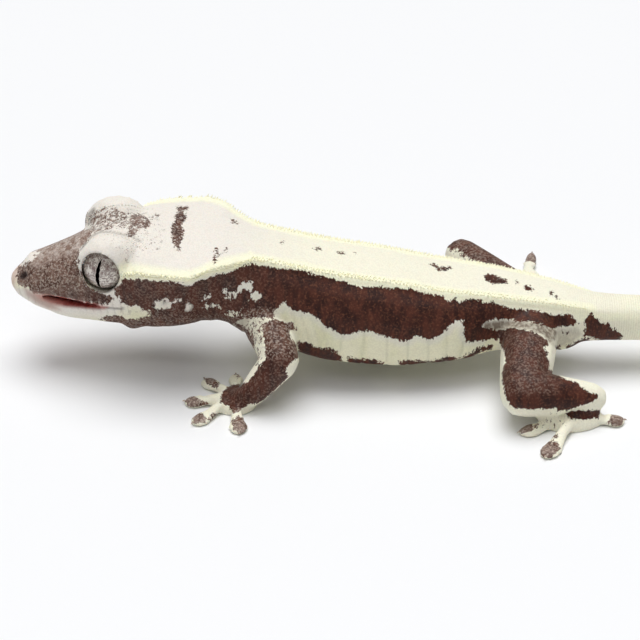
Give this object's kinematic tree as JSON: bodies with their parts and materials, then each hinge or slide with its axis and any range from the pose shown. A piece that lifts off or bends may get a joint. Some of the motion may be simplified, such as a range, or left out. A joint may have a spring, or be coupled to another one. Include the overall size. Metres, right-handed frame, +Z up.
{
  "type": "crested gecko",
  "caption": "Life-size standing crested gecko with a fringed crown and back crest, lidless slit-pupil eyes, padded toes and a whole tail; walks with its head to -X.",
  "frame": {"origin": "on the floor, under the middle of the whole animal's bounding box", "axes": "+X towards the tail, +Y towards the animal's right side, +Z up"},
  "size_m": [0.1934, 0.0748, 0.0306],
  "materials": {
    "head_skin": "matt, fine beaded scales, off-white crown with brown face",
    "cream_skin": "matt, fine scales, pale yellow-cream",
    "brown_skin": "matt, fine scales, chocolate brown flank under a cream back",
    "limb_skin": "matt, fine scales, brown with cream edges",
    "eye": "wet and glossy, grey marbled iris with a dark upright slit",
    "mouth": "moist pink"
  },
  "bodies": {
    "root": {"chest": "brown_skin", "eye_left": "eye", "eye_right": "eye", "fore_left_forearm": "limb_skin", "fore_left_hand": "limb_skin", "fore_left_upper_arm": "limb_skin", "fore_right_forearm": "limb_skin", "fore_right_hand": "limb_skin", "fore_right_upper_arm": "limb_skin", "head": "head_skin", "hind_left_foot": "limb_skin", "hind_left_shank": "limb_skin", "hind_left_thigh": "limb_skin", "hind_right_foot": "limb_skin", "hind_right_shank": "limb_skin", "hind_right_thigh": "limb_skin", "lower_jaw": "head_skin", "neck": "cream_skin", "pelvis": "brown_skin", "tail_1": "cream_skin", "tail_2": "cream_skin", "tail_3": "cream_skin", "tail_4": "cream_skin", "tongue": "mouth"}
  },
  "joints": []
}
